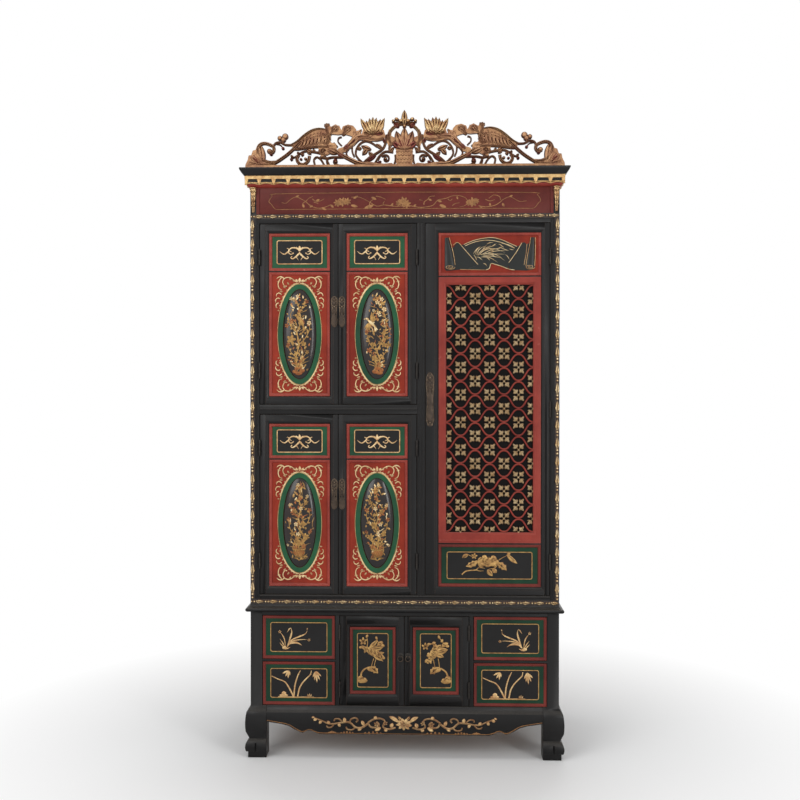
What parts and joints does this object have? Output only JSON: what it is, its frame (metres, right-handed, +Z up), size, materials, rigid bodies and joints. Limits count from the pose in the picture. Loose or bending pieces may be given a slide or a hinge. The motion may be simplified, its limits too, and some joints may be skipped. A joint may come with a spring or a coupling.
{
  "type": "painted cabinet",
  "caption": "Tall lacquered cabinet with painted medallion doors, a lattice door, drawers below, scroll feet and a pierced gilt crest.",
  "frame": {"origin": "on the floor under the middle of the whole outline", "axes": "+Z up, the doors face -Y, +X to the right of someone who looks at the doors"},
  "size_m": [1.12, 0.533, 2.214],
  "materials": {
    "black_lacquer": "worn black lacquer",
    "red_lacquer": "worn red lacquer",
    "green_paint": "worn green paint",
    "frieze_lacquer": "worn dark red lacquer",
    "gilt": "worn gilding on carved wood",
    "crest_gilt": "aged gilding on carved wood",
    "bronze": "dull patina",
    "iron": "dark forged iron",
    "raw_wood": "bare boards"
  },
  "bodies": {
    "case": {"apron_carving": "gilt", "apron_front": "black_lacquer", "aprons_side_and_rear": "black_lacquer", "base_back_panel": "raw_wood", "base_floor": "raw_wood", "base_front_frame": "black_lacquer", "base_partitions_and_guides": "raw_wood", "base_side_panels": "red_lacquer", "base_top": "black_lacquer", "cornice_cove": "red_lacquer", "cornice_slab": "black_lacquer", "crest": "crest_gilt", "frieze_panel": "frieze_lacquer", "gilt_mouldings": "gilt", "hinge_fixed_halves": "iron", "lappet_band": "gilt", "legs": "black_lacquer", "mullion": "black_lacquer", "shelves": "raw_wood", "upper_back_panel": "raw_wood", "upper_case_boards": "raw_wood", "upper_front_rails": "black_lacquer", "upper_posts": "black_lacquer", "upper_side_panels": "red_lacquer"},
    "upper_left_door": {"upper_left_door_frame": "black_lacquer", "upper_left_panels": "red_lacquer", "upper_left_fittings": "bronze"},
    "upper_right_door": {"upper_right_door_frame": "black_lacquer", "upper_right_panels": "red_lacquer", "upper_right_fittings": "bronze"},
    "lower_left_door": {"lower_left_door_frame": "black_lacquer", "lower_left_panels": "red_lacquer", "lower_left_fittings": "bronze"},
    "lower_right_door": {"lower_right_door_frame": "black_lacquer", "lower_right_panels": "red_lacquer", "lower_right_fittings": "bronze"},
    "tall_door": {"tall_door_frame": "black_lacquer", "tall_scroll_panel": "red_lacquer", "tall_lattice_frame": "red_lacquer", "tall_lattice": "red_lacquer", "tall_lattice_backing": "black_lacquer", "tall_bottom_panel_boards": "red_lacquer", "tall_door_fittings": "bronze"},
    "base_left_door": {"base_left_door_frame": "black_lacquer", "base_left_door_panel": "red_lacquer", "base_left_door_fittings": "bronze"},
    "base_right_door": {"base_right_door_frame": "black_lacquer", "base_right_door_panel": "red_lacquer", "base_right_door_fittings": "bronze"},
    "upper_left_pull": {"upper_left_pull": "bronze"},
    "upper_right_pull": {"upper_right_pull": "bronze"},
    "lower_left_pull": {"lower_left_pull": "bronze"},
    "lower_right_pull": {"lower_right_pull": "bronze"},
    "tall_door_pull": {"tall_door_pull": "bronze"},
    "base_left_ring": {"base_left_ring": "bronze"},
    "base_right_ring": {"base_right_ring": "bronze"},
    "drawer_upper_left": {"drawer_upper_left": "red_lacquer"},
    "drawer_upper_right": {"drawer_upper_right": "red_lacquer"},
    "drawer_lower_left": {"drawer_lower_left": "red_lacquer"},
    "drawer_lower_right": {"drawer_lower_right": "red_lacquer"}
  },
  "joints": [
    {"name": "upper_left_door_hinge", "type": "hinge", "parent": "case", "child": "upper_left_door", "pos_m": [-0.495, -0.2375, 1.5185], "axis": [0, 0, -1], "range_deg": [0, 105]},
    {"name": "upper_right_door_hinge", "type": "hinge", "parent": "case", "child": "upper_right_door", "pos_m": [0.043, -0.2375, 1.5185], "axis": [0, 0, 1], "range_deg": [0, 105]},
    {"name": "lower_left_door_hinge", "type": "hinge", "parent": "case", "child": "lower_left_door", "pos_m": [-0.495, -0.2375, 0.8675], "axis": [0, 0, -1], "range_deg": [0, 105]},
    {"name": "lower_right_door_hinge", "type": "hinge", "parent": "case", "child": "lower_right_door", "pos_m": [0.043, -0.2375, 0.8675], "axis": [0, 0, 1], "range_deg": [0, 105]},
    {"name": "tall_door_hinge", "type": "hinge", "parent": "case", "child": "tall_door", "pos_m": [0.495, -0.2375, 1.193], "axis": [0, 0, 1], "range_deg": [0, 105]},
    {"name": "base_left_door_hinge", "type": "hinge", "parent": "case", "child": "base_left_door", "pos_m": [-0.221, -0.2375, 0.3325], "axis": [0, 0, -1], "range_deg": [0, 85]},
    {"name": "base_right_door_hinge", "type": "hinge", "parent": "case", "child": "base_right_door", "pos_m": [0.221, -0.2375, 0.3325], "axis": [0, 0, 1], "range_deg": [0, 85]},
    {"name": "drawer_upper_left_slide", "type": "slide", "parent": "case", "child": "drawer_upper_left", "axis": [0, -1, 0], "range_m": [0, 0.3]},
    {"name": "drawer_upper_right_slide", "type": "slide", "parent": "case", "child": "drawer_upper_right", "axis": [0, -1, 0], "range_m": [0, 0.3]},
    {"name": "drawer_lower_left_slide", "type": "slide", "parent": "case", "child": "drawer_lower_left", "axis": [0, -1, 0], "range_m": [0, 0.3]},
    {"name": "drawer_lower_right_slide", "type": "slide", "parent": "case", "child": "drawer_lower_right", "axis": [0, -1, 0], "range_m": [0, 0.3]},
    {"name": "upper_left_pull_swing", "type": "hinge", "parent": "upper_left_door", "child": "upper_left_pull", "pos_m": [-0.239, -0.239, 1.524], "axis": [-1, 0, 0], "range_deg": [0, 80]},
    {"name": "upper_right_pull_swing", "type": "hinge", "parent": "upper_right_door", "child": "upper_right_pull", "pos_m": [-0.213, -0.239, 1.524], "axis": [-1, 0, 0], "range_deg": [0, 80]},
    {"name": "lower_left_pull_swing", "type": "hinge", "parent": "lower_left_door", "child": "lower_left_pull", "pos_m": [-0.239, -0.239, 0.901], "axis": [-1, 0, 0], "range_deg": [0, 80]},
    {"name": "lower_right_pull_swing", "type": "hinge", "parent": "lower_right_door", "child": "lower_right_pull", "pos_m": [-0.213, -0.239, 0.901], "axis": [-1, 0, 0], "range_deg": [0, 80]},
    {"name": "tall_door_pull_swing", "type": "hinge", "parent": "tall_door", "child": "tall_door_pull", "pos_m": [0.088, -0.239, 1.2665], "axis": [-1, 0, 0], "range_deg": [0, 80]},
    {"name": "base_left_ring_swing", "type": "hinge", "parent": "base_left_door", "child": "base_left_ring", "pos_m": [-0.013, -0.2379, 0.35], "axis": [-1, 0, 0], "range_deg": [0, 80]},
    {"name": "base_right_ring_swing", "type": "hinge", "parent": "base_right_door", "child": "base_right_ring", "pos_m": [0.013, -0.2379, 0.35], "axis": [-1, 0, 0], "range_deg": [0, 80]}
  ]
}
